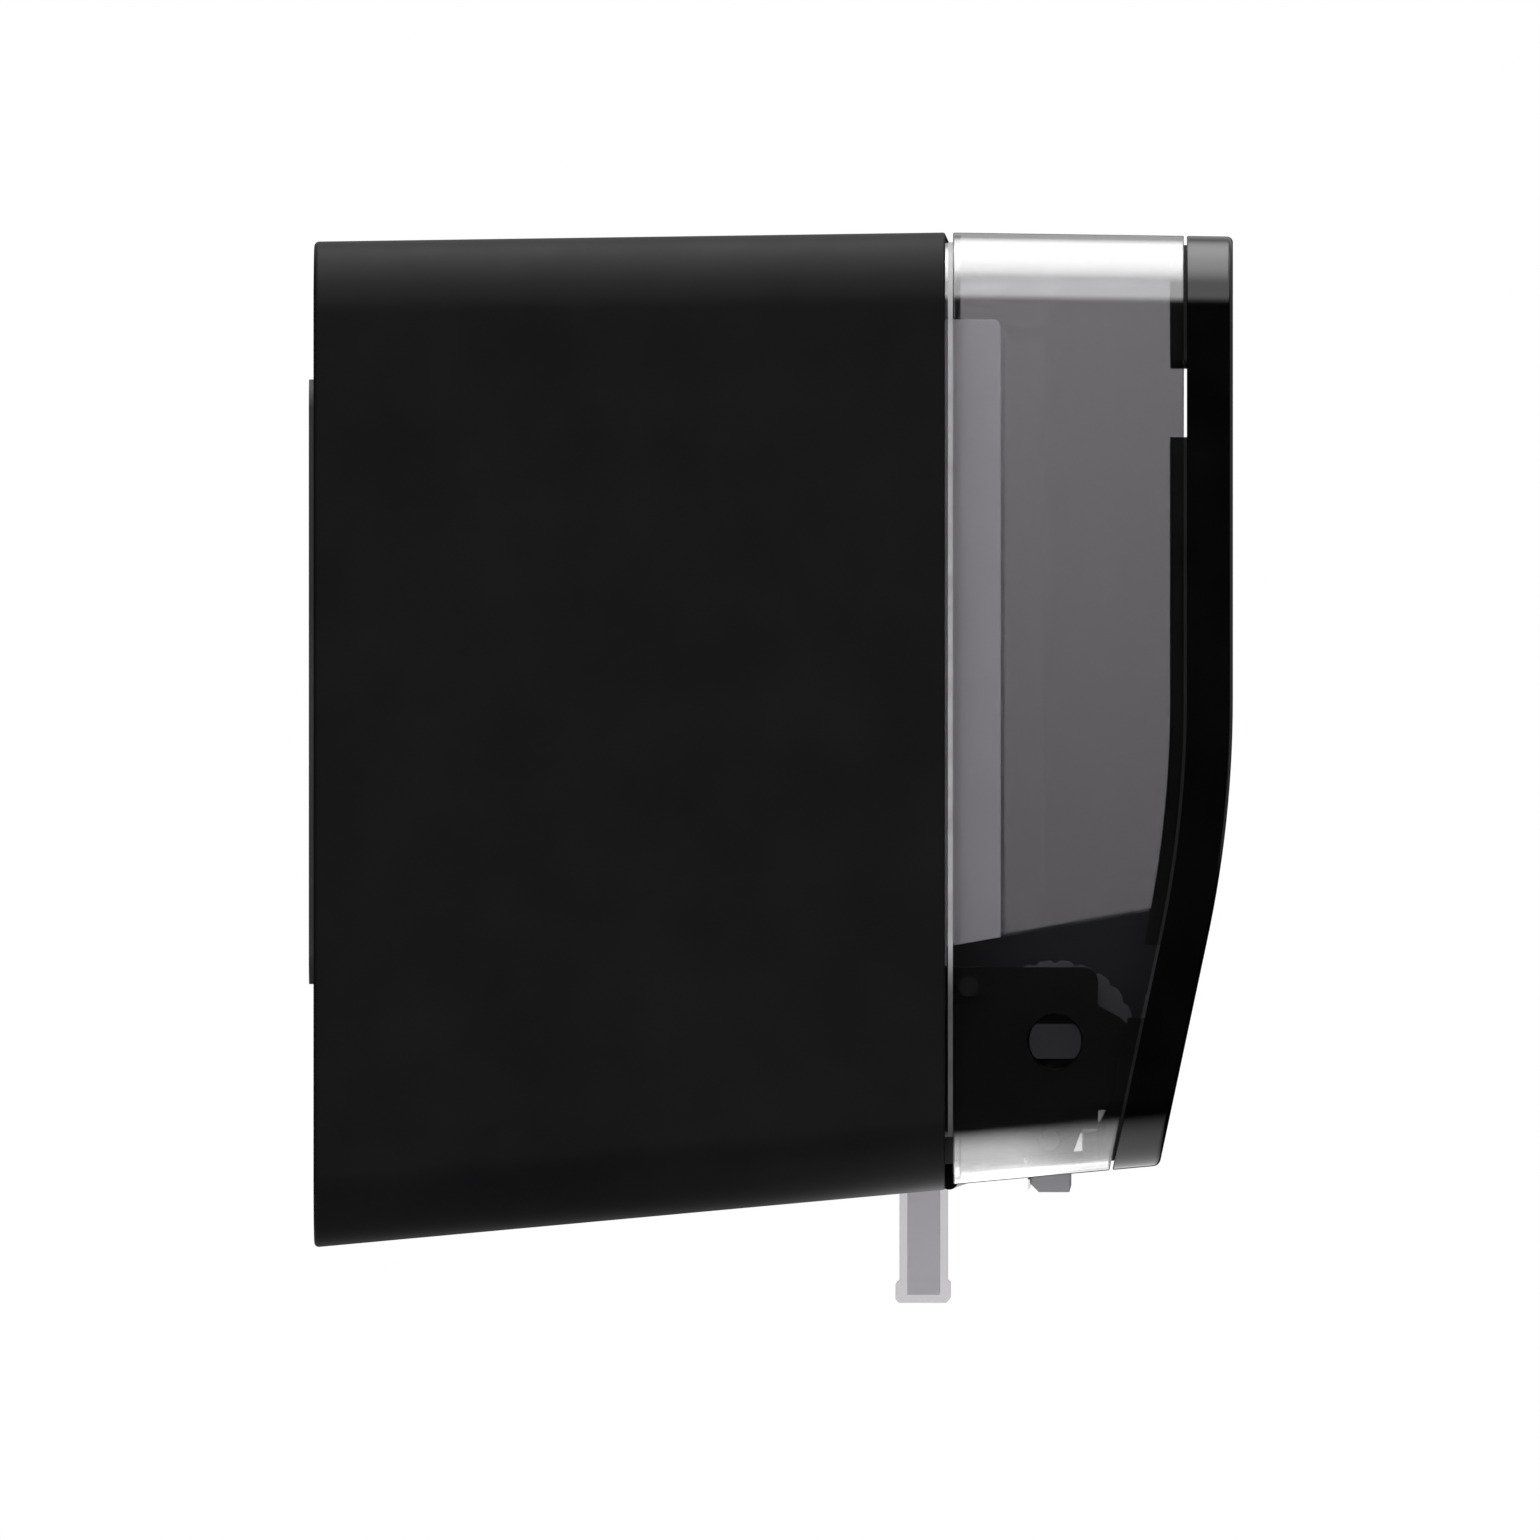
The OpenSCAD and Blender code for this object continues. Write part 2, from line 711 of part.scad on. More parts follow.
module chute() {
    wall_x = [155, 157.5];
    color("#2c2d2f") {
        both_sides() {
            across(wall_x[0], wall_x[1]) polygon([[177, -82], [177, chute_top(177)], [235, chute_top(235)],
                [237.8, -74], [233.8, -91], [232.3, -97], [221, -97], [221, -88], [203, -83]]);
            for (at = chute_pegs) bar(wall_x[1] - 1, chassis_x[1], at, 3);
        }
        across(-wall_x[0], wall_x[0])
            polygon([[234, chute_top(234)], [231.4, chute_top(231.4)], [202.4, -84.8], [204.2, -86.8]]);
        across(-wall_x[0], wall_x[0])
            polygon([[181, chute_top(181)], [183.4, chute_top(183.4)], [192.2, -87], [190.4, -88.4],
                [181, -75.5]]);
    }
}

module tear_bar() {
    low = -142.1;
    color("#b9c0c4", 0.5) difference() {
        union() {
            across(-157, 157) polygon([[201, -131], [212, -131], [212, low], [203.5, low],
                [201, low + 2.5]]);
            both_sides() across(155, chassis_x[0]) polygon([[201, -131.5], [201, -123], [211, -123],
                [211, -131.5]]);
        }
        both_sides() bar(158, chassis_x[0] + 1, bar_end_at, 1.5 + fit_gap);
        for (i = [-2:2]) stub(i * 70, -135, 200, 208, 1.2 + fit_gap);
    }
}

module tear_blade() {
    pitch = 4;
    teeth = 75;
    half = pitch * teeth / 2;
    color("silver") translate([0, -200.4, 0]) rotate([90, 0, 0]) linear_extrude(0.6) difference() {
        polygon(concat([[half, -131], [-half, -131]],
            [for (i = [0:2 * teeth]) [-half + i * pitch / 2, i % 2 == 0 ? -138.6 : -141.2]]));
        for (i = [-2:2]) translate([i * 70, -135]) circle(1.3);
    }
}

module bar_screws() {
    color("silver") {
        both_sides() {
            bar(chassis_x[1], chassis_x[1] + 1.4, bar_end_at, 2.8);
            bar(159, chassis_x[1] + 1, bar_end_at, 1.5);
        }
        for (i = [-2:2]) {
            stub(i * 70, -135, 199.6, 200.4, 2.2);
            stub(i * 70, -135, 200, 207, 1.2);
        }
    }
}

module push_lever() {
    arm = [40, lever_half];
    foot_top = lever_bottom + lever_foot_h;
    top = -119;
    chamfer = 1;
    color("#c4c8cc", 0.5) difference() {
        union() {
            block([-lever_half, lever_half], lever_d, [lever_bottom + 1, top]);
            across(-lever_half - 1, lever_half + 1) polygon([
                [lever_foot_d[0] + chamfer, lever_bottom], [lever_foot_d[1] - chamfer, lever_bottom],
                [lever_foot_d[1], lever_bottom + chamfer], [lever_foot_d[1], foot_top - 0.8],
                [lever_d[1] - 0.2, foot_top], [lever_d[0] + 0.2, foot_top],
                [lever_foot_d[0], foot_top - 0.8], [lever_foot_d[0], lever_bottom + chamfer]]);
            both_sides() {
                block(arm, lever_d, [top - 1, lever_at.y]);
                bar(arm[0], arm[1], lever_at, 6.6);
            }
        }
        block((lever_half - lever_wall) * [-1, 1], [lever_d[0] + lever_wall, lever_d[1] - lever_wall],
            [lever_bottom + lever_wall, top]);
        block(arm[0] * [-1, 1], [lever_d[0] - 1, lever_d[1] + 1], [top - 0.01, top + 10]);
        bar(-lever_half - 2, lever_half + 2, lever_at, shaft_r + fit_gap);
    }
}

module lever_spring() {
    coil_r = 4.4;
    wire_r = 0.5;
    color("silver") {
        translate([100, -lever_at.x, lever_at.y]) coil(8, coil_r, wire_r, 6);
        block([99.6, 100.4], [lever_at.x - coil_r - 0.4, lever_at.x - coil_r + 0.4],
            [lever_at.y - 16, lever_at.y]);
        block([107.6, 108.4], [lever_at.x - coil_r - 0.4, lever_at.x - coil_r + 0.4],
            [lever_at.y, lever_at.y + 16]);
    }
}

module lock_housing() {
    color("#b8b9bc") translate([0, -lock_d, 0]) difference() {
        union() {
            translate([0, 0, lock_top - 1.1]) cylinder(h = 1.1, r = 11.3);
            translate([0, 0, lock_low]) cylinder(h = lock_top - lock_low - 1, r = lock_thread_r);
        }
        translate([0, 0, lock_low - 1]) cylinder(h = 20, r = lock_r + run_gap);
    }
}

module lock_nut() {
    color("#b8b9bc") translate([0, -lock_d, 0]) difference() {
        translate([0, 0, 117.9]) cylinder(h = 4, r = 11.6, $fn = 6);
        translate([0, 0, 115]) cylinder(h = 8, r = lock_thread_r + fit_gap);
    }
}

module lock_barrel() {
    color("#cfd0d2") translate([0, -lock_d, 0]) difference() {
        union() {
            translate([0, 0, lock_low - 1]) cylinder(h = lock_top - lock_low + 0.8, r = lock_r);
            translate([0, 0, cam_z - 3.4]) cylinder(h = lock_low - cam_z + 2.5, r = cam_shank_r);
        }
        translate([-0.8, -4, lock_top - 6]) cube([1.6, 8, 10]);
    }
}

// The cam points forwards when unlocked and turns to the right to lock
module lock_cam() {
    color("silver") difference() {
        union() {
            translate([0, -lock_d, cam_z]) cylinder(h = 2, r = 7);
            block([-8, -2.3], [lock_d - 3, lock_d + 16], [cam_z, cam_z + 2]);
        }
        translate([0, -lock_d, cam_z - 1]) cylinder(h = 4, r = cam_shank_r + fit_gap);
    }
}

module cam_nut() {
    color("silver") translate([0, -lock_d, 0]) difference() {
        translate([0, 0, cam_z - 3]) cylinder(h = 3, r = 7, $fn = 6);
        translate([0, 0, cam_z - 4]) cylinder(h = 5, r = cam_shank_r + fit_gap);
    }
}

module hinge_pins() {
    color("silver") both_sides() bar(hinge_x[0] + 0.2, hinge_x[3] - 0.2, hinge_at, hinge_pin_r);
}

module clear_cover() {
    inner = tongue_inset + tongue_t;
    cut_front = 216;
    lug = [hinge_x[1], hinge_x[2]];
    color("#5f5e63", 0.45) difference() {
        union() {
            intersection() {
                difference() {
                    casing(cover_d, front_d + 1, 0);
                    casing(cover_d - 1, front_d + 2, wall);
                }
                behind_front(0, -panel_d);
            }
            difference() {
                casing(cover_d, cover_d + rim, 0.5);
                casing(cover_d - 1, cover_d + rim + 1, inner);
            }
            difference() {
                casing(tongue_d, cover_d + 1, tongue_inset);
                casing(tongue_d - 1, cover_d + 2, inner);
                block(casing_half * [-1, 1], [tongue_d - 2, cover_d], [-casing_bottom - 20, tongue_end]);
            }
            both_sides() {
                across(lug[0], lug[1]) polygon([hinge_at, hinge_at + [0, hinge_r],
                    [cover_d + 5, hinge_at.y + 3.4], [cover_d + 5, hinge_at.y - 0.3],
                    hinge_at - [0, hinge_r]]);
                bar(lug[0], lug[1], hinge_at, hinge_r);
            }
        }
        block([-138, 138], [cover_d - 1, 191], [-150, -130]);
        block([-160, 160], [190, cut_front], [-150, -130]);
        both_sides() {
            bar(lug[0] - 1, lug[1] + 1, hinge_at, hinge_pin_r + run_gap);
            block([hinge_x[0] - 0.4, lug[0] - slice], [joint_d, cover_d + 4], [-150, -134]);
            block([lug[1] + slice, hinge_x[3] + 0.4], [joint_d, cover_d + 4], [-150, -134]);
        }
        both_sides() for (x = [[136, hinge_x[0] - 0.4], [hinge_x[3] + 0.4, casing_half + 1]])
            across(x[0], x[1]) polygon([[cover_d - 1, -139], [cover_d, -139.4],
                [cover_d + 1.7, -141.4], [cover_d - 1, -143]]);
        for (x = catch_screw_x) translate([x, -catch_screw_d, 110]) cylinder(h = 30, r = 1.6);
    }
}

module front_panel() {
    tab = 4.7;
    tab_inset = wall + 0.03;
    tab_gaps = [[67.9, 87.1], [-93.5, -73.2]];
    color("#050505") {
        difference() {
            intersection() {
                casing(joint_d + 30, front_d + 5, 0);
                front_band(-panel_d, 0);
            }
            intersection() {
                casing(joint_d + 20, front_d + 6, wall + 1);
                behind_front(0, -wall);
            }
        }
        difference() {
            intersection() {
                difference() {
                    casing(joint_d + 30, front_d + 5, tab_inset);
                    casing(joint_d + 20, front_d + 6, tab_inset + 2);
                }
                front_band(-panel_d - tab, -panel_d + 4);
            }
            for (gap = tab_gaps)
                intersection() {
                    block((casing_half + 1) * [-1, 1], [200, front_d], gap);
                    behind_front(0, -panel_d);
                }
            intersection() {
                block((casing_half + 1) * [-1, 1], [200, front_d], [-150, -122]);
                behind_front(0, -panel_d);
            }
        }
    }
}

// The hook behind the cover's top edge that the lock's cam holds
module cover_catch() {
    strap_z = cam_z + 2.8;
    strap_x = [10.5, 15];
    plate_z = [118.3, 120.1];
    sheet = 1.8;
    color("silver") difference() {
        union() {
            block([1, 21], [catch_d, 177], plate_z);
            block(strap_x, [catch_d, catch_d + sheet], [strap_z, plate_z[1]]);
            block(strap_x, [lock_d, catch_d + sheet], [strap_z, strap_z + sheet]);
            block(strap_x, [lock_d, lock_d + sheet], [strap_z - 4, strap_z + sheet]);
        }
        for (x = catch_screw_x) translate([x, -catch_screw_d, plate_z[0] - 1]) cylinder(h = 5, r = 1.6);
    }
}

module catch_screws() {
    head_z = 116.8;
    color("silver") for (x = catch_screw_x) translate([x, -catch_screw_d, head_z]) {
        cylinder(h = 1.5, r = 2.5);
        cylinder(h = 5, r = 1.55);
    }
}

wall_plate();
plate_nuts();
body_screws();
body_washers();
rear_body();
cheek_left();
cheek_right();
cheek_screws();
roll_spigot();
holder_screws();
hub_left();
roll_core();
film_roll();
plunger_housing();
plunger();
plunger_clip();
plunger_spring();
hub_right();
chassis_left();
chassis_right();
chassis_screws();
tie_rods();
bushes();
lever_shaft();
sector_gear();
shaft_clips();
pinion_gear();
drive_shaft();
drive_cap();
drive_roller();
grip_sleeves();
feed_wheel();
pressure_roller();
pressure_axle();
nip_springs();
gear_cover();
end_cover();
guard_screws();
chute();
tear_bar();
tear_blade();
bar_screws();
push_lever();
lever_spring();
lock_housing();
lock_nut();
lock_barrel();
lock_cam();
cam_nut();
hinge_pins();
clear_cover();
front_panel();
cover_catch();
catch_screws();
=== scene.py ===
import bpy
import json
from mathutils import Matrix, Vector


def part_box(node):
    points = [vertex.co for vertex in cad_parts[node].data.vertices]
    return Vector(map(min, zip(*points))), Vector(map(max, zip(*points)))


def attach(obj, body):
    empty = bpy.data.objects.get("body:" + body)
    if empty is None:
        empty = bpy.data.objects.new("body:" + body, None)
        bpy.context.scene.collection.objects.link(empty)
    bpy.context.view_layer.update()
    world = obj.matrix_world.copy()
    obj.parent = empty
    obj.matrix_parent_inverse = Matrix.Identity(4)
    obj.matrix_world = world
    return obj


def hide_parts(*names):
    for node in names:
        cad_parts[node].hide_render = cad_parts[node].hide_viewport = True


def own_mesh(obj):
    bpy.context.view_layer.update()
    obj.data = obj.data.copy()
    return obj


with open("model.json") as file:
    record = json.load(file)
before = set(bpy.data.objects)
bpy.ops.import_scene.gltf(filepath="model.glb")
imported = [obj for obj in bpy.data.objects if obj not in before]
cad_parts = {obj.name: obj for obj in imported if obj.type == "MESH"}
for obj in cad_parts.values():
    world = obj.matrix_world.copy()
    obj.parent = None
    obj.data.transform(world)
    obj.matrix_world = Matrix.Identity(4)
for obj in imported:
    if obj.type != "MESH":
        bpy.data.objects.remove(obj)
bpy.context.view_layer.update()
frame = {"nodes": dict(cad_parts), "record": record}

import functools
import json
import math

import bmesh
import bpy
from mathutils import Vector

# Lengths below are in millimetres. A point is (across, depth from the wall, height).
MM = 0.001
CORNER_R = 20.0
WALL = 2.5
# The sides and top draw in away from the joint, and the underside rises towards the front
DRAFT = math.tan(math.radians(0.816))
FLOOR_SLOPE = math.tan(math.radians(5.24))
COVER_LIFT = 1.2
# The front is upright down to CURVE_Z, then curves back until it leans
CURVE_Z, CURVE_R, LEAN = -5.0, 318.0, math.radians(12)
PANEL_D = 12.8

body_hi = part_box("rear_body")[1]
HALF = body_hi.x / MM
JOINT_D = 177.5
TOP = body_hi.z / MM
LOW = -141.3
BACK_D = -body_hi.y / MM
COVER_D = 179.7
FRONT_D = -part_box("front_panel")[0].y / MM


def top_at(d):
    return TOP - abs(d - JOINT_D) * DRAFT


def floor_at(d):
    lift = COVER_LIFT if d > JOINT_D + 1.1 else 0
    return LOW + (d - JOINT_D) * FLOOR_SLOPE + lift


def half_at(d):
    return HALF - abs(d - JOINT_D) * DRAFT


def front_at(z):
    """Depth of the front surface at a height."""
    drop = CURVE_Z - z
    if drop <= 0:
        return FRONT_D
    if drop < CURVE_R * math.sin(LEAN):
        return FRONT_D - CURVE_R * (1 - math.cos(math.asin(drop / CURVE_R)))
    straight = drop - CURVE_R * math.sin(LEAN)
    return FRONT_D - CURVE_R * (1 - math.cos(LEAN)) - straight * math.tan(LEAN)


# ---------------------------------------------------------------- meshes

CORNER_STEPS = 16
SIDE_STEPS = 44


def outline_point(i, d, inset):
    """Point i of the right-hand outline from the top down: corner, side, corner."""
    r = CORNER_R - inset
    top, low, half = top_at(d) - inset, floor_at(d) + inset, half_at(d) - inset
    if i <= CORNER_STEPS:
        a = math.radians(90 - 90 * i / CORNER_STEPS)
        return half - r + r * math.cos(a), top - r + r * math.sin(a)
    if i < CORNER_STEPS + SIDE_STEPS:
        t = (i - CORNER_STEPS) / SIDE_STEPS
        return half, (top - r) * (1 - t) + (low + r) * t
    a = math.radians(-90 * (i - CORNER_STEPS - SIDE_STEPS) / CORNER_STEPS)
    return half - r + r * math.cos(a), low + r + r * math.sin(a)


RING_HALF = 2 * CORNER_STEPS + SIDE_STEPS + 1


def ring(d, inset, follow=False):
    """A closed ring of points. With follow, d is an offset from the front surface."""
    right = []
    for i in range(RING_HALF):
        depth = FRONT_D + d if follow else d
        x, z = outline_point(i, depth, inset)
        if follow:
            for _ in range(4):
                depth = front_at(z) + d
                x, z = outline_point(i, depth, inset)
        right.append((x, depth, z))
    return right + [(-x, d_, z) for x, d_, z in reversed(right)]


def make_mesh(name, points, faces, sharp=32):
    mesh = bpy.data.meshes.new(name)
    mesh.from_pydata([(x * MM, -d * MM, z * MM) for x, d, z in points], [], faces)
    obj = bpy.data.objects.new(name, mesh)
    bpy.context.scene.collection.objects.link(obj)
    tidy_normals(obj, sharp)
    return obj


def tidy_normals(obj, sharp=32):
    bm = bmesh.new()
    bm.from_mesh(obj.data)
    bmesh.ops.recalc_face_normals(bm, faces=bm.faces)
    for f in bm.faces:
        f.smooth = True
    for e in bm.edges:
        e.smooth = len(e.link_faces) == 2 and e.calc_face_angle(0) < math.radians(sharp)
    bm.to_mesh(obj.data)
    bm.free()


def loft(rings, loop=False, first_cap=False, last_cap=False):
    """Points and faces of rings joined in order, capped by strips across the width."""
    n = len(rings[0])
    points = [p for r in rings for p in r]
    faces = []
    count = len(rings)
    for k in range(count if loop else count - 1):
        a, b = k * n, ((k + 1) % count) * n
        faces += [(a + i, a + (i + 1) % n, b + (i + 1) % n, b + i) for i in range(n)]
    for wanted, k in ((first_cap, 0), (last_cap, count - 1)):
        if wanted:
            a = k * n
            faces += [(a + i, a + i + 1, a + n - 2 - i, a + n - 1 - i) for i in range(n // 2 - 1)]
    return points, faces


def apply_modifiers(obj):
    dg = bpy.context.evaluated_depsgraph_get()
    mesh = bpy.data.meshes.new_from_object(obj.evaluated_get(dg))
    obj.modifiers.clear()
    obj.data = mesh


def boolean(obj, tools, operation="DIFFERENCE", sharp=32):
    for tool in tools:
        m = obj.modifiers.new("cut", "BOOLEAN")
        m.operation, m.solver, m.object = operation, "EXACT", tool
    bpy.context.view_layer.update()
    apply_modifiers(obj)
    for tool in tools:
        bpy.data.objects.remove(tool)
    tidy_normals(obj, sharp)


def prism(outline, axis_from, axis_to, place):
    """A closed prism: place(u, v, w) turns an outline point and an axis value into a point."""
    n = len(outline)
    points = [place(u, v, w) for w in (axis_from, axis_to) for u, v in outline]
    faces = [tuple(range(n)), tuple(range(2 * n - 1, n - 1, -1))]
    faces += [(i, (i + 1) % n, n + (i + 1) % n, n + i) for i in range(n)]
    return points, faces


def across(name, outline, x0, x1):
    """A prism across the width from an outline of (depth, height)."""
    return make_mesh(name, *prism(outline, x0, x1, lambda u, v, w: (w, u, v)))


def box(x, d, z):
    return across("box", [(d[0], z[0]), (d[1], z[0]), (d[1], z[1]), (d[0], z[1])], x[0], x[1])


def circle(cu, cv, r, n=48):
    return [(cu + r * math.cos(2 * math.pi * i / n), cv + r * math.sin(2 * math.pi * i / n))
            for i in range(n)]


def bar(x0, x1, d, z, r):
    return across("bar", circle(d, z, r), x0, x1)


def stub(x, z, d0, d1, r):
    return make_mesh("stub", *prism(circle(x, z, r), d0, d1, lambda u, v, w: (u, w, v)))


def post(x, d, z0, z1, r):
    return make_mesh("post", *prism(circle(x, d, r), z0, z1, lambda u, v, w: (u, v, w)))


def lathe(name, profile, steps=96, centre=(98.0, 20.0), sharp=32):
    """A ring turned about the roll's axis from a closed profile of (across, radius)."""
    points, faces = [], []
    n = len(profile)
    for k in range(steps):
        a = 2 * math.pi * k / steps
        points += [(x, centre[0] + r * math.cos(a), centre[1] + r * math.sin(a)) for x, r in profile]
        b = ((k + 1) % steps) * n
        faces += [(k * n + i, k * n + (i + 1) % n, b + (i + 1) % n, b + i) for i in range(n)]
    return make_mesh(name, points, faces, sharp)


def bevelled_copy(node, width, sharp=32, segments=3):
    """A copy of a CAD node's shape, with its hard edges rounded where width is above 0."""
    source = frame["nodes"][node]
    obj = bpy.data.objects.new(node + "_look", source.data.copy())
    bpy.context.scene.collection.objects.link(obj)
    bm = bmesh.new()
    bm.from_mesh(obj.data)
    bmesh.ops.remove_doubles(bm, verts=bm.verts, dist=0.00001)
    bmesh.ops.dissolve_limit(bm, angle_limit=math.radians(0.6), verts=bm.verts, edges=bm.edges)
    bmesh.ops.recalc_face_normals(bm, faces=bm.faces)
    bm.to_mesh(obj.data)
    bm.free()
    if width:
        m = obj.modifiers.new("edges", "BEVEL")
        m.width, m.segments = width * MM, segments
        m.limit_method, m.angle_limit = "ANGLE", math.radians(38)
        m.use_clamp_overlap = True
        apply_modifiers(obj)
    tidy_normals(obj, sharp)
    return obj


# ---------------------------------------------------------------- materials


def new_material(name, **values):
    mat = bpy.data.materials.new(name)
    mat.use_nodes = True
    shader = mat.node_tree.nodes["Principled BSDF"]
    for key, value in values.items():
        shader.inputs[key.replace("_", " ")].default_value = value
    return mat, mat.node_tree, shader


def noise(tree, scale, detail=3.0, stretch=None, rough=0.5):
    place = tree.nodes.new("ShaderNodeTexCoord")
    out = place.outputs["Object"]
    if stretch:
        mapping = tree.nodes.new("ShaderNodeMapping")
        mapping.inputs["Scale"].default_value = stretch
        tree.links.new(out, mapping.inputs["Vector"])
        out = mapping.outputs["Vector"]
    node = tree.nodes.new("ShaderNodeTexNoise")
    node.inputs["Scale"].default_value = scale
    node.inputs["Detail"].default_value = detail
    node.inputs["Roughness"].default_value = rough
    tree.links.new(out, node.inputs["Vector"])
    return node.outputs["Fac"]


def height_fade(tree, low, high):
    """0 at the low height and 1 at the high one."""
    place, split = tree.nodes.new("ShaderNodeTexCoord"), tree.nodes.new("ShaderNodeSeparateXYZ")
    tree.links.new(place.outputs["Object"], split.inputs[0])
    height = tree.nodes.new("ShaderNodeMapRange")
    height.inputs["From Min"].default_value = low * MM
    height.inputs["From Max"].default_value = high * MM
    tree.links.new(split.outputs["Z"], height.inputs["Value"])
    return height.outputs["Result"]


def math_node(tree, operation, *inputs):
    node = tree.nodes.new("ShaderNodeMath")
    node.operation = operation
    for socket, value in zip(node.inputs, inputs):
        if isinstance(value, (int, float)):
            socket.default_value = value
        else:
            tree.links.new(value, socket)
    return node.outputs[0]


def smooth(tree, value, low, high):
    """0 at low and 1 at high, whichever is larger, with a soft start and end."""
    node = tree.nodes.new("ShaderNodeMapRange")
    node.interpolation_type = "SMOOTHSTEP"
    ends = (("From Min", low), ("From Max", high), ("To Min", 0.0), ("To Max", 1.0))
    if low > high:
        ends = (("From Min", high), ("From Max", low), ("To Min", 1.0), ("To Max", 0.0))
    for key, v in ends:
        node.inputs[key].default_value = v
    tree.links.new(value, node.inputs["Value"])
    return node.outputs["Result"]


def times(tree, a, b):
    node = tree.nodes.new("ShaderNodeVectorMath")
    node.operation = "MULTIPLY"
    tree.links.new(a, node.inputs[0])
    tree.links.new(b, node.inputs[1])
    return node.outputs["Vector"]


def mixed(tree, factor, first, second):
    """Ends the material in a mix of two shaders. The factor is a socket or a number."""
    mix = tree.nodes.new("ShaderNodeMixShader")
    if isinstance(factor, float):
        mix.inputs[0].default_value = factor
    else:
        tree.links.new(factor, mix.inputs[0])
    tree.links.new(first.outputs[0], mix.inputs[1])
    tree.links.new(second.outputs[0], mix.inputs[2])
    tree.links.new(mix.outputs[0], tree.nodes["Material Output"].inputs["Surface"])


def gloss_coat(shader, weight, rough, ior=1.5):
    shader.inputs["Coat Weight"].default_value = weight
    shader.inputs["Coat Roughness"].default_value = rough
    shader.inputs["Coat IOR"].default_value = ior


def by_height(tree, stops):
    """Greys at heights, from the lowest up: (height, grey) pairs."""
    low, high = stops[0][0], stops[-1][0]
    node = tree.nodes.new("ShaderNodeValToRGB")
    elements = node.color_ramp.elements
    for _ in range(len(stops) - 2):
        elements.new(0.5)
    for element, (z, grey) in zip(elements, stops):
        element.position = (z - low) / (high - low)
        element.color = (grey, grey * 0.98, grey * 1.01, 1)
    tree.links.new(height_fade(tree, low, high), node.inputs["Fac"])
    return node.outputs["Color"]


def ramp(tree, factor, low, high, start=0.35, end=0.65):
    """Maps a factor onto two colours, or two greys given as numbers."""
    node = tree.nodes.new("ShaderNodeValToRGB")
    for element, place, value in zip(node.color_ramp.elements, (start, end), (low, high)):
        element.position = place
        element.color = (value,) * 3 + (1,) if isinstance(value, (int, float)) else (*value, 1)
    tree.links.new(factor, node.inputs["Fac"])
    return node.outputs["Color"]


def bump(tree, shader, height, distance, below=None):
    node = tree.nodes.new("ShaderNodeBump")
    node.inputs["Distance"].default_value = distance * MM
    node.inputs["Strength"].default_value = 1.0
    tree.links.new(height, node.inputs["Height"])
    if below is not None:
        tree.links.new(below, node.inputs["Normal"])
    tree.links.new(node.outputs["Normal"], shader.inputs["Normal"])
    return node.outputs["Normal"]


def moulded(name, dark, light, rough, grain=0.03, grain_scale=1400, ior_level=0.5, wave=0.0):
    """Moulded plastic: fine spark-eroded grain, slight colour and gloss variation."""
    mat, tree, shader = new_material(name)
    shader.inputs["Specular IOR Level"].default_value = ior_level
    tree.links.new(ramp(tree, noise(tree, 35, 4), dark, light), shader.inputs["Base Color"])
    tree.links.new(ramp(tree, noise(tree, 60, 5), rough[0], rough[1]), shader.inputs["Roughness"])
    below = bump(tree, shader, noise(tree, 9, 1), wave) if wave else None
    bump(tree, shader, noise(tree, grain_scale, 2), grain, below=below)
    return mat


def metal(name, dark, light, rough, stretch=None, scale=300):
    """Bare or plated metal with fine lines. With stretch, the lines run along the width."""
    mat, tree, shader = new_material(name, Metallic=1.0)
    tree.links.new(ramp(tree, noise(tree, 40, 4), dark, light), shader.inputs["Base Color"])
    lines = noise(tree, scale, 4, stretch)
    tree.links.new(ramp(tree, lines, rough[0], rough[1]), shader.inputs["Roughness"])
    bump(tree, shader, lines, 0.004)
    return mat


def clear_plastic(name, tint_and_painted_shading, through):
    """Tinted clear plastic with real wall thickness. Its tint changes by height to paint shade and
    light into it. Shadow rays pass, so light reaches what is behind it."""
    mat, tree, shader = new_material(name)
    tree.links.new(by_height(tree, tint_and_painted_shading), shader.inputs["Base Color"])
    shader.inputs["Transmission Weight"].default_value = 1.0
    shader.inputs["IOR"].default_value = 1.49
    gloss_coat(shader, 1.0, 0.02, 1.8)
    tree.links.new(ramp(tree, noise(tree, 22, 4), 0.015, 0.045), shader.inputs["Roughness"])
    bump(tree, shader, noise(tree, 14, 1), 0.006)
    clear = tree.nodes.new("ShaderNodeBsdfTransparent")
    clear.inputs["Color"].default_value = (*through, 1)
    mixed(tree, tree.nodes.new("ShaderNodeLightPath").outputs["Is Shadow Ray"], shader, clear)
    return mat


def pane(name, grey, through, share):
    """Water-clear plastic seen straight through: a share of gloss over a plain tint."""
    mat, tree, shader = new_material(name)
    shader.inputs["Base Color"].default_value = (*grey, 1)
    gloss_coat(shader, 1.0, 0.03)
    tree.links.new(ramp(tree, noise(tree, 22, 4), 0.04, 0.09), shader.inputs["Roughness"])
    bump(tree, shader, noise(tree, 14, 1), 0.006)
    clear = tree.nodes.new("ShaderNodeBsdfTransparent")
    clear.inputs["Color"].default_value = (*through, 1)
    mixed(tree, share, clear, shader)
    return mat


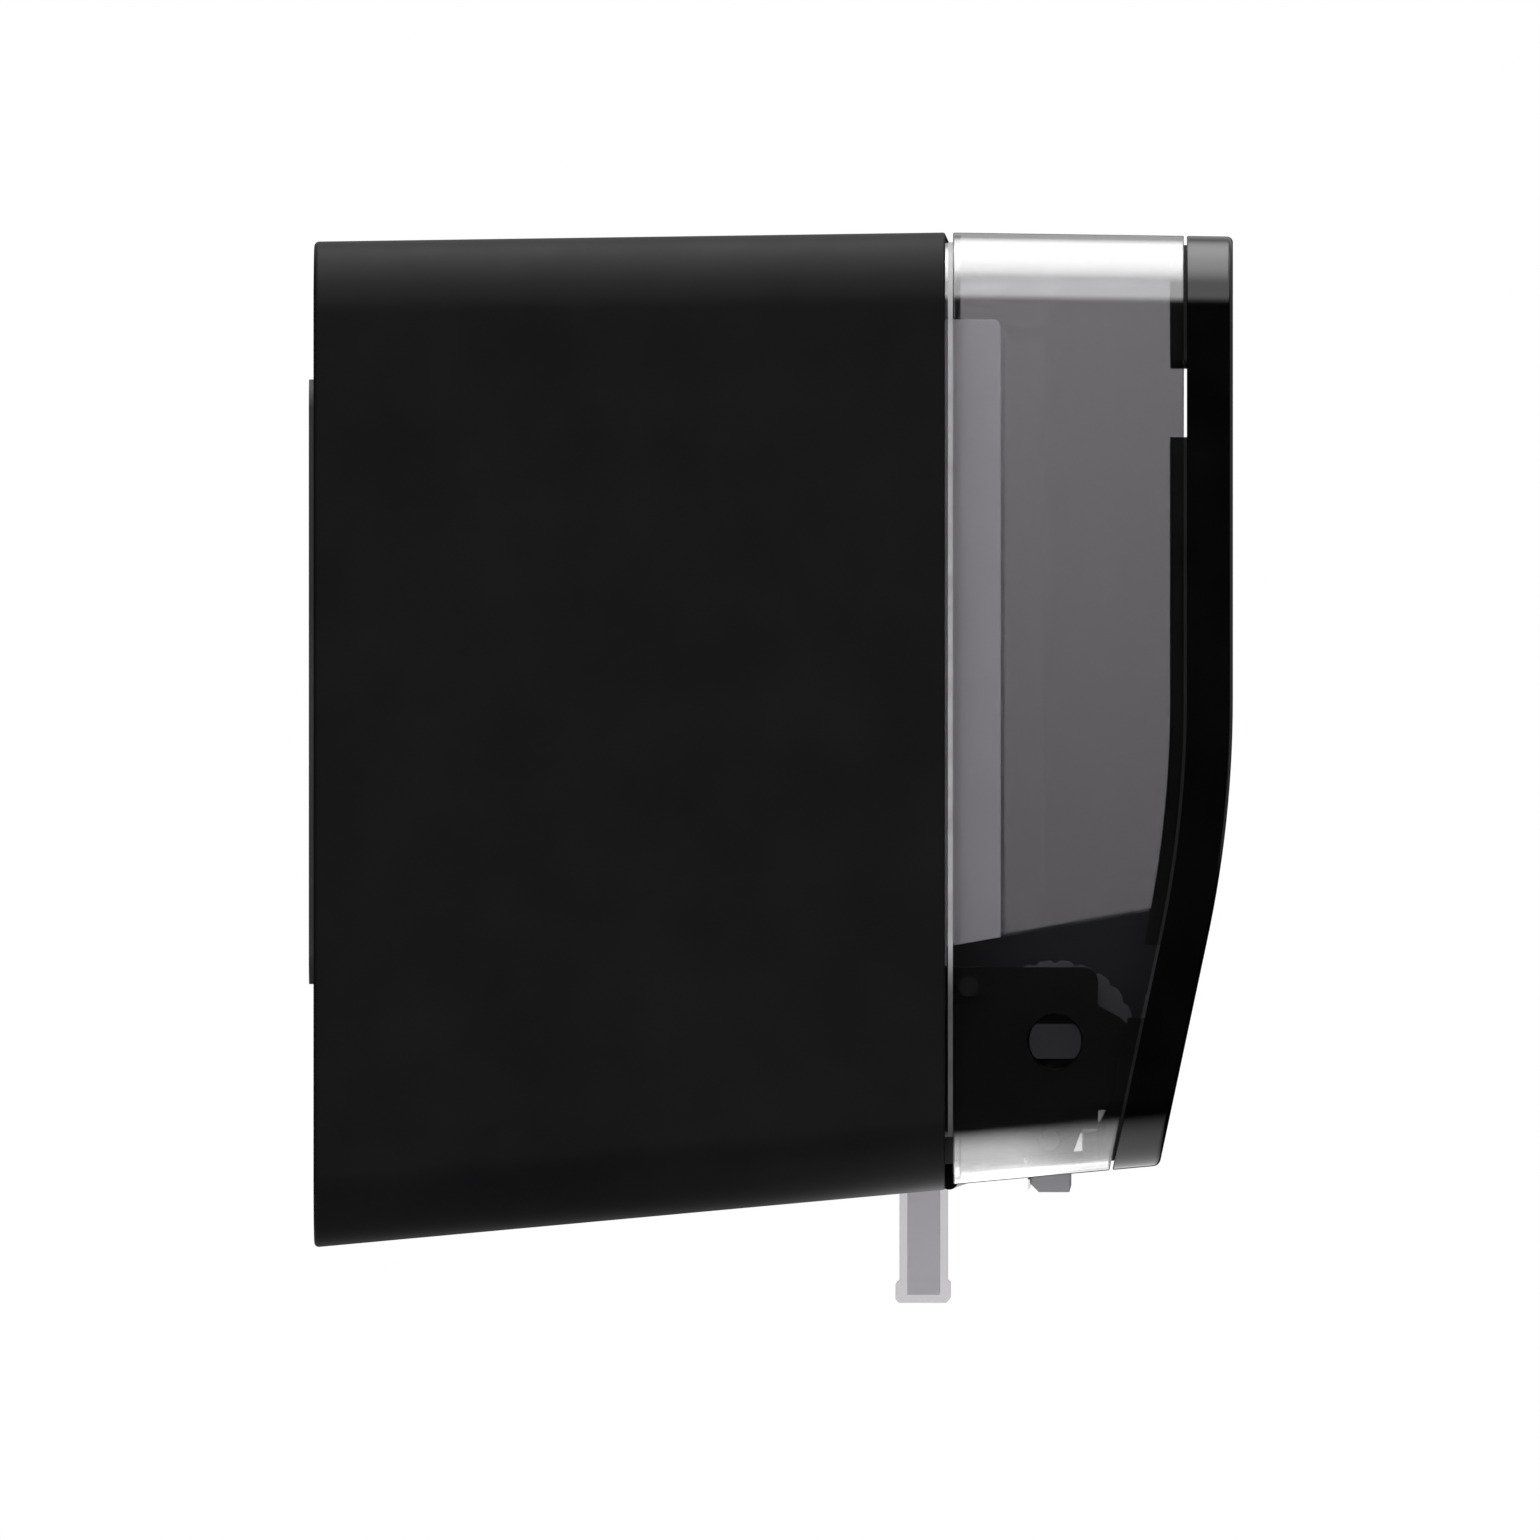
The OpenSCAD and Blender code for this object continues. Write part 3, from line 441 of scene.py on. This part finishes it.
def film_material():
    """Tightly wound clear film: a milky gloss with fine turns and faint bands round it."""
    mat, tree, shader = new_material("film", Roughness=0.16)
    shader.inputs["Subsurface Weight"].default_value = 0.25
    shader.inputs["Subsurface Radius"].default_value = (0.004, 0.005, 0.005)
    gloss_coat(shader, 0.5, 0.08)
    bands, turns = noise(tree, 22, 5, (6.0, 0.6, 0.6)), noise(tree, 60, 4, (4.0, 1.0, 1.0))
    tree.links.new(ramp(tree, bands, (0.60, 0.67, 0.69), (0.80, 0.85, 0.86)),
                   shader.inputs["Base Color"])
    tree.links.new(ramp(tree, turns, 0.10, 0.28), shader.inputs["Roughness"])
    bump(tree, shader, noise(tree, 90, 3, (5.0, 0.35, 0.35)), 0.05)
    return mat


def painted_edge_light():
    """A light grey strip in the joint is a painted highlight: the light that the cover's back edge
    catches. Low down it is darkened, a painted shade of the black guard behind it."""
    mat, tree, shader = new_material("painted_edge_light", Roughness=0.4)
    shade = ramp(tree, height_fade(tree, -86, -74), 0.2, 1.0, 0.0, 1.0)
    edge_light_tone = ramp(tree, noise(tree, 180, 3), (0.185, 0.185, 0.19), (0.235, 0.235, 0.24))
    tree.links.new(times(tree, edge_light_tone, shade), shader.inputs["Base Color"])
    bump(tree, shader, noise(tree, 900, 2), 0.02)
    return mat


def floor_material():
    """Matt grey. A pool of light is painted into it as a glow that only polished surfaces see, a
    painted reflection brightest below the clear cover. Distances here are in metres."""
    mat, tree, shader = new_material("floor", Roughness=0.6)
    tree.links.new(ramp(tree, noise(tree, 4, 3), 0.50, 0.54), shader.inputs["Base Color"])
    place, split = tree.nodes.new("ShaderNodeTexCoord"), tree.nodes.new("ShaderNodeSeparateXYZ")
    tree.links.new(place.outputs["Object"], split.inputs[0])
    y, x = split.outputs["Y"], math_node(tree, "ABSOLUTE", split.outputs["X"])
    # The glow's strength: a painted pool of light in bands under the cover, fading out across the
    # width
    pool = math_node(tree, "ADD", smooth(tree, y, -0.45, -0.25), smooth(tree, y, -0.232, -0.212))
    pool = math_node(tree, "MULTIPLY", pool, smooth(tree, y, -0.165, -0.19))
    near = math_node(tree, "MULTIPLY", smooth(tree, y, -0.32, -0.22), 0.4)
    pool = math_node(tree, "ADD", math_node(tree, "MULTIPLY", pool, 1.1), near)
    pool = math_node(tree, "MULTIPLY", pool, smooth(tree, x, 0.5, 0.2))
    glow = tree.nodes.new("ShaderNodeEmission")
    tree.links.new(pool, glow.inputs["Strength"])
    mixed(tree, tree.nodes.new("ShaderNodeLightPath").outputs["Is Glossy Ray"], shader, glow)
    return mat


def card_material():
    mat, tree, shader = new_material("card", Roughness=0.85)
    fibres = noise(tree, 260, 5, (1.0, 3.0, 3.0), rough=0.7)
    tree.links.new(ramp(tree, fibres, (0.25, 0.165, 0.09), (0.45, 0.32, 0.195)),
                   shader.inputs["Base Color"])
    bump(tree, shader, fibres, 0.05)
    return mat


# Smoke tint of the cover by height, with painted shade darker low on its sides and painted light round
# the lower corner
SMOKE_AND_PAINTED_SHADING = [(-138, 0.5), (-134, 0.62), (-130, 0.66), (-125, 0.5), (-118, 0.37), (-100, 0.37), (100, 0.49)]

MATERIALS = {
    "black_plastic": moulded("black_plastic", (0.0017, 0.0017, 0.0021), (0.0023, 0.0023, 0.0027),
                             (0.39, 0.43), grain=0.012, ior_level=0.08),
    "panel_gloss": moulded("panel_gloss", (0.0003, 0.0003, 0.0004), (0.0006, 0.0006, 0.0007),
                           (0.05, 0.09), grain=0.0008, grain_scale=900, wave=0.012),
    "smoke_clear": clear_plastic("smoke_clear", SMOKE_AND_PAINTED_SHADING, (0.92, 0.91, 0.925)),
    "clear": pane("clear", (0.5, 0.495, 0.505), (0.785, 0.775, 0.79), 0.1),
    "grey_plastic": moulded("grey_plastic", (0.86, 0.85, 0.88), (0.92, 0.91, 0.94), (0.42, 0.52)),
    "dark_plastic": moulded("dark_plastic", (0.030, 0.031, 0.034), (0.042, 0.043, 0.047), (0.38, 0.5)),
    "mid_plastic": moulded("mid_plastic", (0.16, 0.16, 0.17), (0.21, 0.21, 0.22), (0.35, 0.48)),
    "nylon": moulded("nylon", (0.62, 0.60, 0.53), (0.72, 0.70, 0.63), (0.38, 0.48)),
    "grip_rubber": moulded("grip_rubber", (0.07, 0.07, 0.073), (0.10, 0.10, 0.104), (0.7, 0.85),
                           grain=0.06, grain_scale=900),
    "black_steel": moulded("black_steel", (0.010, 0.010, 0.011), (0.016, 0.016, 0.017), (0.5, 0.62),
                           grain=0.05, grain_scale=1100),
    "steel": metal("steel", (0.34, 0.34, 0.355), (0.44, 0.44, 0.455), (0.22, 0.40), (0.06, 1.0, 1.0)),
    "spring_steel": metal("spring_steel", (0.36, 0.36, 0.38), (0.48, 0.48, 0.50), (0.25, 0.38)),
    "zinc": metal("zinc", (0.30, 0.305, 0.32), (0.40, 0.405, 0.42), (0.26, 0.40), scale=500),
    "card": card_material(),
    "film": film_material(),
}

# Materials of a few pieces that differ a little from the rest of their slot
PAINTED_EDGE_LIGHT = painted_edge_light()
TAB_BLACK = moulded("tab_black", (0.008, 0.008, 0.0085), (0.013, 0.013, 0.0135), (0.55, 0.7),
                    ior_level=0.1)
GUARD_BLACK = moulded("guard_black", (0.012, 0.012, 0.0125), (0.018, 0.018, 0.0185), (0.5, 0.6),
                      ior_level=0.1)
CAP_GREY = moulded("cap_grey", (0.09, 0.09, 0.095), (0.12, 0.12, 0.125), (0.45, 0.55),
                   ior_level=0.2)
BAR_CLEAR = pane("bar_clear", (0.5, 0.495, 0.505), (0.42, 0.415, 0.425), 0.12)

slots = {part["node"]: part["material_slot"] for part in frame["record"]["subparts"]}


def finish_part(obj, name, body, mat):
    """Names the piece, gives it its material and body. Flat faces shade flat."""
    obj.name = name
    m = obj.modifiers.new("normals", "WEIGHTED_NORMAL")
    m.keep_sharp = True
    apply_modifiers(obj)
    obj.data.materials.clear()
    obj.data.materials.append(mat)
    for f in obj.data.polygons:
        f.material_index = 0
    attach(obj, body)
    return obj


def finish_piece(obj, node, mat=None):
    """The piece stands for a CAD node: same body, and the material of the node's slot unless another
    is given.
    """
    body = next(b for b, names in frame["record"]["behaviour"]["bodies"].items() if node in names)
    finish_part(obj, node + "_look", body, mat or MATERIALS[slots[node]])
    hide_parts(node)
    return obj


for name, obj in frame["nodes"].items():
    for place in obj.material_slots:
        place.material = MATERIALS[slots[name]]


def both(x0, x1):
    """A span across the width and its mirror image."""
    return ((x0, x1), (-x1, -x0))


def four(x, z):
    return [(sx * x, sz * z) for sx in (-1, 1) for sz in (-1, 1)]


def rounds(steps, angle):
    """Sine and cosine of the steps of a rounded edge."""
    turns = [math.radians(angle * k) for k in range(steps)]
    return [(math.sin(a), math.cos(a)) for a in turns]


# ---------------------------------------------------------------- rear body

EDGE_R = 1.4
MOUTH_ROUND = (0.7, 0.5)
PLATE_SCREWS, WALL_SCREWS = four(90, 40), four(110, 60)
CHEEK_BOSSES = ((25, 85), (25, -65), (150, 85), (150, -65))
BOSS_R = 4.5
# The hinge's axis, and the ends of its lugs across the width
HINGE = (178.6, -139.0)
HINGE_X = (142.0, 147.3, 152.7, 158.0)
HINGE_R, HINGE_GAP = 2.4, 0.3
LOCK_D = 158

rings = [ring(BACK_D + EDGE_R * (1 - c), EDGE_R * (1 - s)) for s, c in rounds(6, 18)]
rings += [ring(JOINT_D - MOUTH_ROUND[0] * (1 - s), MOUTH_ROUND[1] * (1 - c))
          for s, c in rounds(5, 22.5)]
rings += [ring(JOINT_D, WALL - 0.3), ring(JOINT_D - 0.3, WALL), ring(BACK_D + 3, WALL)]
rear_body = make_mesh("rear_body_look", *loft(rings, first_cap=True, last_cap=True))

adds = [stub(x, z, 4, 9, 8) for x, z in PLATE_SCREWS]
for d, z in CHEEK_BOSSES:
    adds += [bar(x0, x1, d, z, BOSS_R) for x0, x1 in both(182.5, half_at(d) - 1)]
lug = [(164, -142), (172, -128.5), (174, -126.5), (179.3, -126.5), (179.3, -131.6), (176.4, -131.6),
       (176.4, -132.6), (179.3, -132.6), (179.3, -139), (178.6, -139), (176.5, -140.9)]
for x in ((HINGE_X[0], HINGE_X[1] - HINGE_GAP), (HINGE_X[2] + HINGE_GAP, HINGE_X[3])):
    for x0, x1 in both(*x):
        adds += [across("lug", lug, x0, x1), bar(x0, x1, *HINGE, HINGE_R)]
boolean(rear_body, adds, "UNION")

# Screw holes, the lever's slot, room for the cover's lugs, and the lock's seat and hole
cuts = [stub(x, z, 0, 10, 6) for x, z in WALL_SCREWS]
cuts += [stub(x, z, 1, 5.4, 4.7) for x, z in PLATE_SCREWS]
cuts += [stub(x, z, 0, 12, 2.1) for x, z in PLATE_SCREWS]
cuts += [box((-50, 50), (150, JOINT_D + 1), (-170, -120))]
for x0, x1 in both(HINGE_X[1] - HINGE_GAP, HINGE_X[2] + HINGE_GAP):
    cuts += [box((x0, x1), (175.8, 182), (-144, -135))]
cuts += [post(0, LOCK_D, 123.2, 129, 11.5), post(0, LOCK_D, 116, 126, 9.55)]
boolean(rear_body, cuts)
finish_piece(rear_body, "rear_body")

# ---------------------------------------------------------------- clear cover

TONGUE_D, TONGUE_IN, INNER = 168.5, WALL + 0.3, WALL + 2.1
COVER_ROUND = 0.5
EDGE_GAP = 0.85
END = -PANEL_D - EDGE_GAP
rings = [ring(END, 0.25, True), ring(END - 0.25, 0, True)]
rings += [ring(COVER_D + COVER_ROUND * (1 - s), COVER_ROUND * (1 - c)) for s, c in rounds(5, 22.5)]
rings += [ring(COVER_D, TONGUE_IN), ring(TONGUE_D + 0.4, TONGUE_IN), ring(TONGUE_D, TONGUE_IN + 0.4),
          ring(TONGUE_D, INNER - 0.4), ring(TONGUE_D + 0.4, INNER),
          ring(COVER_D + 2.1, INNER), ring(COVER_D + 2.1, WALL), ring(END - 0.01, WALL, True),
          ring(END, WALL - 0.25, True)]
clear_cover = make_mesh("clear_cover_look", *loft(rings, loop=True))

adds = []
lug = [(178.6, -136.6), (184.7, -135.6), (184.7, -139.3), (178.6, -141.4)]
for x0, x1 in both(HINGE_X[1], HINGE_X[2]):
    adds += [across("lug", lug, x0, x1), bar(x0, x1, *HINGE, HINGE_R)]
# No tongue along the lower edge, openings for the film and the tear bar, and the catch's screws
cuts = [box((-200, 200), (TONGUE_D - 2, COVER_D), (-165, -126.5)),
        box((-138, 138), (COVER_D - 1, 191), (-150, -130)),
        box((-160, 160), (190, 216), (-150, -130)),
        post(4, 174, 110, 130, 1.6), post(18, 174, 110, 130, 1.6)]
for x in ((HINGE_X[0] - 0.4, HINGE_X[1]), (HINGE_X[2], HINGE_X[3] + 0.4)):
    cuts += [box(span, (176, COVER_D + 4), (-150, -134)) for span in both(*x)]
boolean(clear_cover, cuts)
boolean(clear_cover, adds, "UNION")
finish_piece(clear_cover, "clear_cover")

# A thin light grey strip in the joint, a painted highlight along the cover's back edge
edge_back, edge_front = COVER_D - 1.35, COVER_D - 0.05
edge_out, edge_in = TONGUE_IN - 0.1, TONGUE_IN + 0.2
joint_edge = make_mesh("joint_edge", *loft(
    [ring(edge_back, edge_out), ring(edge_front, edge_out),
     ring(edge_front, edge_in), ring(edge_back, edge_in)], loop=True))
boolean(joint_edge, [box((-200, 200), (170, 190), (-165, -126.4))])
finish_part(joint_edge, "cover_joint_edge", "cover", PAINTED_EDGE_LIGHT)

# ---------------------------------------------------------------- front panel

PANEL_R = 1.6
rings = [ring(-WALL, WALL + 1, True), ring(-PANEL_D, WALL + 1, True),
         ring(-PANEL_D, 0.3, True), ring(-PANEL_D + 0.3, 0, True)]
rings += [ring(-PANEL_R * (1 - s), PANEL_R * (1 - c), True) for s, c in rounds(7, 15)]
front_panel = make_mesh("front_panel_look", *loft(rings, first_cap=True, last_cap=True))

# A thin ring inside the cover, cut into tabs
TAB_IN, TAB_T, TAB_LENGTH = WALL + 0.05, 2, 4.7
TAB_GAPS = ((67.9, 89.2), (-93.5, -73.2))
tab_end, tab_root = -PANEL_D - TAB_LENGTH, -PANEL_D + 1
tabs = make_mesh("tabs", *loft(
    [ring(tab_end, TAB_IN + 0.3, True), ring(tab_end + 0.3, TAB_IN, True),
     ring(tab_root, TAB_IN, True), ring(tab_root, TAB_IN + TAB_T, True),
     ring(tab_end, TAB_IN + TAB_T, True)], loop=True))
boolean(tabs, [box((-200, 200), (200, 270), gap) for gap in TAB_GAPS])
finish_piece(front_panel, "front_panel")
finish_part(tabs, "panel_tabs", "cover", TAB_BLACK)

# ---------------------------------------------------------------- the roll of film

film_lo, film_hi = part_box("film_roll")
HALF_FILM, FILM_R, CORE_R = film_hi.x / MM, (film_hi.z - film_lo.z) / MM / 2, 30.0
FACE_STEPS = 40
profile = []
for side in (1, -1):
    rows = []
    for k in range(FACE_STEPS + 1):
        r = CORE_R + 0.05 + (FILM_R - CORE_R - 0.45) * k / FACE_STEPS
        # The turns don't end quite level with each other
        uneven = 0.25 * math.sin(k * 2.7) + 0.18 * math.sin(k * 1.3 + side)
        rows.append((side * (HALF_FILM - 0.5 + uneven), r))
    rows.append((side * (HALF_FILM - 1.2), FILM_R))
    profile += rows if side == 1 else list(reversed(rows))
film_roll = lathe("film_roll_look", profile, sharp=60)
finish_piece(film_roll, "film_roll")

# ---------------------------------------------------------------- pieces with rounded edges

ROUNDED = (("push_lever", 0.35), ("tear_bar", 0.3, BAR_CLEAR), ("wall_plate", 0.4),
           ("cheek_left", 0.4), ("cheek_right", 0.4), ("chute", 0.3),
           ("gear_cover", 0.4, GUARD_BLACK), ("end_cover", 0.4, GUARD_BLACK),
           ("chassis_left", 0.3), ("chassis_right", 0.3), ("feed_wheel", 0.25),
           ("drive_cap", 0.5, CAP_GREY))
for node, width, *mat in ROUNDED:
    finish_piece(bevelled_copy(node, width), node, *mat)

# A dark seat behind the cap fills the rest of its hole in the guard
cap_lo, cap_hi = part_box("drive_cap")
cap_d, cap_z = -(cap_lo.y + cap_hi.y) / 2 / MM, (cap_lo.z + cap_hi.z) / 2 / MM
cap_x, SEAT_R = cap_hi.x / MM, 7.6
cap_seat = bar(cap_x - 1.2, cap_x - 0.2, cap_d, cap_z, SEAT_R)
finish_part(cap_seat, "drive_cap_seat", "drive", GUARD_BLACK)

# The plunger's spring, copied as it is onto a mesh of its own. In the real thing the plunger presses
# it together against the end of the housing
spring = finish_piece(bevelled_copy("plunger_spring", 0, sharp=60), "plunger_spring")
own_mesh(spring)

# ---------------------------------------------------------------- floor

FLOOR_R, FLOOR_Z, FLOOR_T, MID_D = 2000.0, -300.0, 20, 128.9
floor = make_mesh("floor", *prism(circle(0, MID_D, FLOOR_R, 96), FLOOR_Z - FLOOR_T, FLOOR_Z,
                                  lambda u, v, w: (u, v, w)))
floor.data.materials.append(floor_material())

# ---------------------------------------------------------------- light

scene = bpy.context.scene
scene.view_settings.view_transform = "Standard"
world = bpy.data.worlds.new("studio")
scene.world = world
world.use_nodes = True
tree = world.node_tree
background = tree.nodes["Background"]
calc, soft = functools.partial(math_node, tree), functools.partial(smooth, tree)

coords = tree.nodes.new("ShaderNodeTexCoord")
parts = tree.nodes.new("ShaderNodeSeparateXYZ")
tree.links.new(coords.outputs["Generated"], parts.inputs[0])
dx, dy, dz = (parts.outputs[k] for k in range(3))
rays = tree.nodes.new("ShaderNodeLightPath")

SKY, OVERHEAD, WINDOW, DIM, SIDE = 1.9, 3.6, 0.6, 0.12, 3.3

# A soft sky, weaker to the right, with a long softbox overhead
along = calc("SUBTRACT", 1.0, soft(calc("ABSOLUTE", dy), 0.45, 0.8))
crosswise = calc("SUBTRACT", 1.0, soft(calc("ABSOLUTE", dy), 0.15, 0.45))
overhead = calc("MULTIPLY", calc("MULTIPLY", soft(dz, 0.62, 1.0), crosswise), OVERHEAD)
far_dim = calc("SUBTRACT", 1.0, calc("MULTIPLY", soft(dx, 0.0, 0.6), 0.75))
sky = calc("MULTIPLY", calc("MULTIPLY", soft(dz, 0.12, 0.35), SKY), far_dim)
room = calc("MULTIPLY", calc("ADD", sky, overhead), along)

# A wide window from the front, a dim glow above and below, and a side light from the left that
# polished surfaces don't show
window = soft(calc("ADD", calc("MULTIPLY", dy, -0.88), calc("MULTIPLY", dz, 0.35)), 0.62, 0.95)
room = calc("ADD", room, calc("MULTIPLY", window, WINDOW))
room = calc("ADD", room, calc("MULTIPLY", soft(calc("ABSOLUTE", dz), 0.02, 0.4), DIM))
side = calc("MULTIPLY", soft(calc("MULTIPLY", dx, -1.0), 0.1, 0.8), SIDE)
side = calc("MULTIPLY", side, calc("SUBTRACT", 1.0, rays.outputs["Is Glossy Ray"]))
room = calc("ADD", room, side)

# What the camera sees past the object, directly or through its clear parts, is a white backdrop
bounces = calc("ADD", rays.outputs["Glossy Depth"], rays.outputs["Diffuse Depth"])
straight = calc("SUBTRACT", 1.0, calc("GREATER_THAN", bounces, 0.5))
through = calc("MULTIPLY", rays.outputs["Is Transmission Ray"], straight)
backdrop = calc("MAXIMUM", rays.outputs["Is Camera Ray"], through)
strength = calc("ADD", calc("MULTIPLY", room, calc("SUBTRACT", 1.0, backdrop)), backdrop)
tree.links.new(strength, background.inputs["Strength"])
background.inputs["Color"].default_value = (1, 1, 1, 1)

# ---------------------------------------------------------------- camera

camera_data = bpy.data.cameras.new("camera")
camera_data.lens, camera_data.sensor_width = 1500.0, 36.0
camera_data.clip_start, camera_data.clip_end = 0.1, 100.0
camera = bpy.data.objects.new("camera", camera_data)
scene.collection.objects.link(camera)
scene.camera = camera
# A long lens square to the left end, in line with the front panel's back edge
SEEN_WIDTH, SEEN_Z = 427.8, -24.6
distance = SEEN_WIDTH * camera_data.lens / camera_data.sensor_width
target = Vector((-HALF, -MID_D, SEEN_Z)) * MM
camera.location = (-(HALF + distance) * MM, -(FRONT_D - PANEL_D) * MM, SEEN_Z * MM)
camera.rotation_mode = "QUATERNION"
camera.rotation_quaternion = (target - camera.location).to_track_quat("-Z", "Y")
